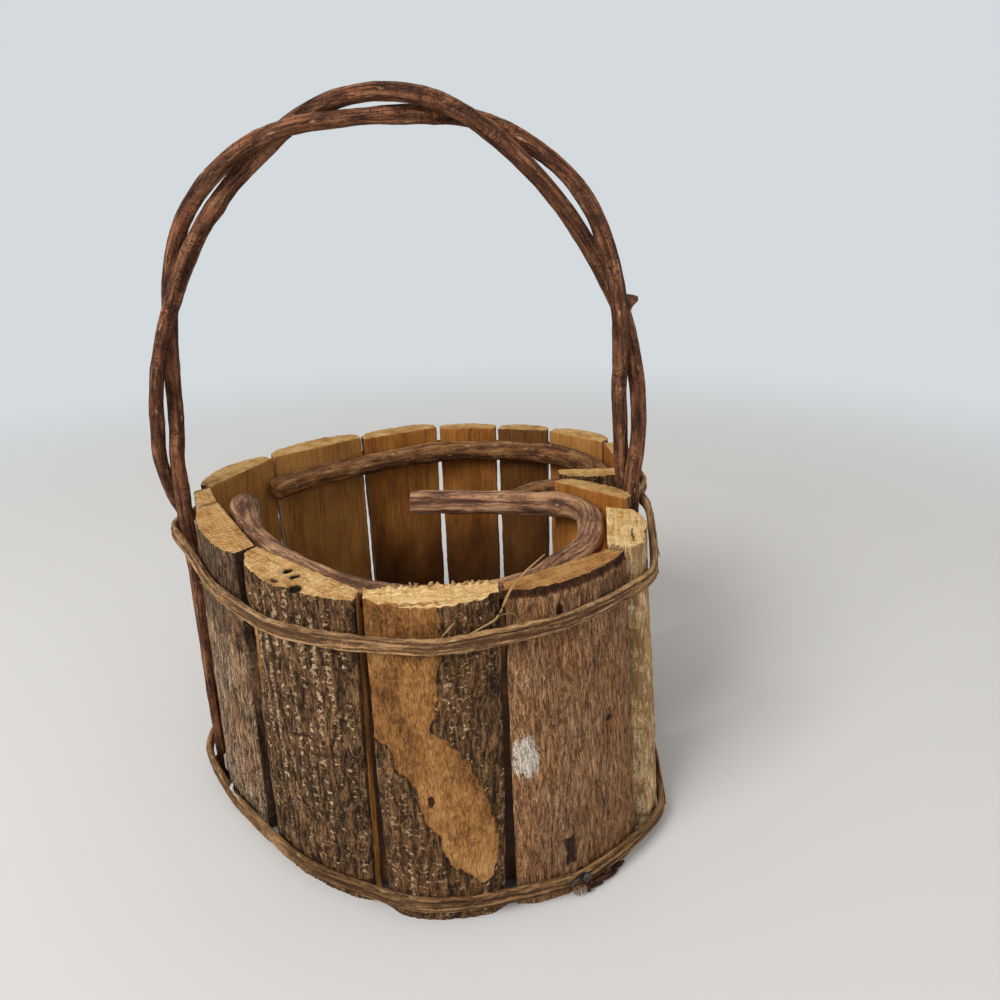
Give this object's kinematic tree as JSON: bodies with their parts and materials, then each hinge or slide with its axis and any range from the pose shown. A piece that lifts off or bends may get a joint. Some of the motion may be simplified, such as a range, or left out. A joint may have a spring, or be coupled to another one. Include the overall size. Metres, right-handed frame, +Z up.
{
  "type": "basket",
  "caption": "Heart-shaped basket of split bark staves round a base board, bound with split-vine bands, lined with bent twigs and carried by a twisted vine handle",
  "frame": {"origin": "on the surface that the basket stands on, under the middle of its overall box", "axes": "+X from the blunt tip of the heart to its cleft, +Z up, -Y the front as pictured"},
  "size_m": [0.1738, 0.1756, 0.2244],
  "materials": {
    "bark": "dark flecked bark outside, sawn honey-brown wood inside",
    "grey_bark": "fine grey-brown bark, matt",
    "red_bark": "fibrous reddish-brown inner bark, matt",
    "pale_bark": "pale flecked bark, matt",
    "board": "sawn, unfinished",
    "vine": "thin reddish-brown bark, slight sheen",
    "twig": "purplish-brown ridged bark, matt",
    "band": "split fibrous vine, matt",
    "nail": "darkened steel"
  },
  "bodies": {
    "root": {"stave_tip": "bark", "stave_front_1": "grey_bark", "stave_front_2": "bark", "stave_front_3": "bark", "stave_front_4": "red_bark", "stave_front_5": "pale_bark", "stave_cleft_front": "bark", "stave_cleft_back": "bark", "stave_back_lobe": "bark", "stave_back_6": "bark", "stave_back_5": "bark", "stave_back_4": "bark", "stave_back_3": "bark", "stave_back_2": "bark", "stave_back_1": "bark", "base_board": "board", "handle_vine_a": "vine", "handle_vine_b": "vine", "inner_twig_front": "twig", "inner_twig_back": "twig", "upper_band": "band", "lower_band": "band", "band_nail_1": "nail", "band_nail_2": "nail", "band_nail_3": "nail"}
  },
  "joints": []
}
